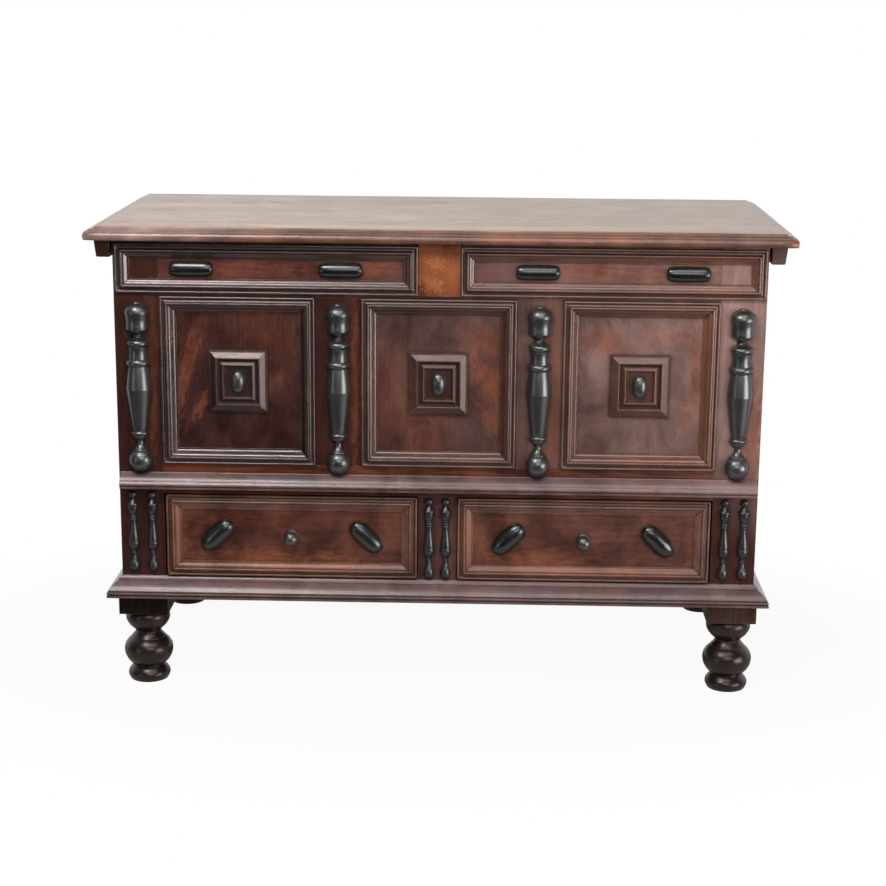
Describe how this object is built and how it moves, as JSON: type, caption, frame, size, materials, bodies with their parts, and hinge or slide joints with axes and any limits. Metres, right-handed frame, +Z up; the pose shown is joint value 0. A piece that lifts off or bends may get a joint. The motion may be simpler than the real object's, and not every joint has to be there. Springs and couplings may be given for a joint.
{
  "type": "storage chest",
  "caption": "Panelled wooden storage chest on turned feet, with a lift-up lid over a deep well, drawers below, mitred mouldings, split spindles and turned bosses.",
  "frame": {"origin": "on the floor, under the middle of the chest's overall box", "axes": "+X to the right along the front as seen by someone facing it, +Y from the front to the back, +Z up"},
  "size_m": [1.374, 0.63, 0.9284],
  "materials": {
    "walnut": "dark red-brown stain under worn wax",
    "dark_walnut": "darker red-brown stain, satin",
    "amber_wood": "amber varnish over brown wood",
    "lid_wood": "grey-brown worn varnish with a sheen",
    "ebonised_wood": "greenish black stain, glossy",
    "plain_wood": "unfinished",
    "brass": "dull, aged"
  },
  "bodies": {
    "case": {"front_stile_left": "walnut", "front_stile_right": "walnut", "front_top_rail": "walnut", "front_bottom_rail": "walnut", "front_muntins": "walnut", "drawer_divider": "walnut", "front_panel_left": "walnut", "front_panel_centre": "walnut", "front_panel_right": "walnut", "square_ornaments": "walnut", "mid_moulding": "walnut", "base_moulding": "walnut", "front_middle_rail": "amber_wood", "centre_plaque": "amber_wood", "rear_stile_left": "dark_walnut", "rear_stile_right": "dark_walnut", "upper_moulding_left": "dark_walnut", "upper_moulding_right": "dark_walnut", "panel_moulding_left": "dark_walnut", "panel_moulding_centre": "dark_walnut", "panel_moulding_right": "dark_walnut", "side_rails_left": "dark_walnut", "side_rails_right": "dark_walnut", "side_panels_left": "dark_walnut", "side_panels_right": "dark_walnut", "rear_top_rail": "dark_walnut", "rear_lower_rails": "dark_walnut", "rear_muntins": "dark_walnut", "plinth_blocks": "dark_walnut", "upper_bosses": "ebonised_wood", "panel_bosses": "ebonised_wood", "large_split_spindles": "ebonised_wood", "small_split_spindles": "ebonised_wood", "turned_feet": "ebonised_wood", "back_panels": "plain_wood", "chest_floor": "plain_wood", "floor_bearers": "plain_wood", "drawer_runners": "plain_wood", "drawer_guides": "plain_wood", "drawer_kickers": "plain_wood", "drawer_stops": "plain_wood", "hinge_case_leaves": "brass", "hinge_pins": "brass", "hinge_case_screws": "brass"},
    "lid": {"lid_board": "lid_wood", "lid_cleats": "dark_walnut", "hinge_lid_leaves": "brass", "hinge_lid_screws": "brass"},
    "drawer_left": {"drawer_front_left": "walnut", "drawer_box_left": "plain_wood", "drawer_bottom_left": "plain_wood", "drawer_moulding_left": "dark_walnut", "drawer_bosses_left": "ebonised_wood", "drawer_knob_left": "ebonised_wood"},
    "drawer_right": {"drawer_front_right": "walnut", "drawer_box_right": "plain_wood", "drawer_bottom_right": "plain_wood", "drawer_moulding_right": "dark_walnut", "drawer_bosses_right": "ebonised_wood", "drawer_knob_right": "ebonised_wood"}
  },
  "joints": [
    {"name": "lid_hinge", "type": "hinge", "parent": "case", "child": "lid", "pos_m": [0, 0.302, 0.9037], "axis": [-1, 0, 0], "range_deg": [0, 110]},
    {"name": "drawer_left_slide", "type": "slide", "parent": "case", "child": "drawer_left", "axis": [0, -1, 0], "range_m": [0, 0.42]},
    {"name": "drawer_right_slide", "type": "slide", "parent": "case", "child": "drawer_right", "axis": [0, -1, 0], "range_m": [0, 0.42]}
  ]
}
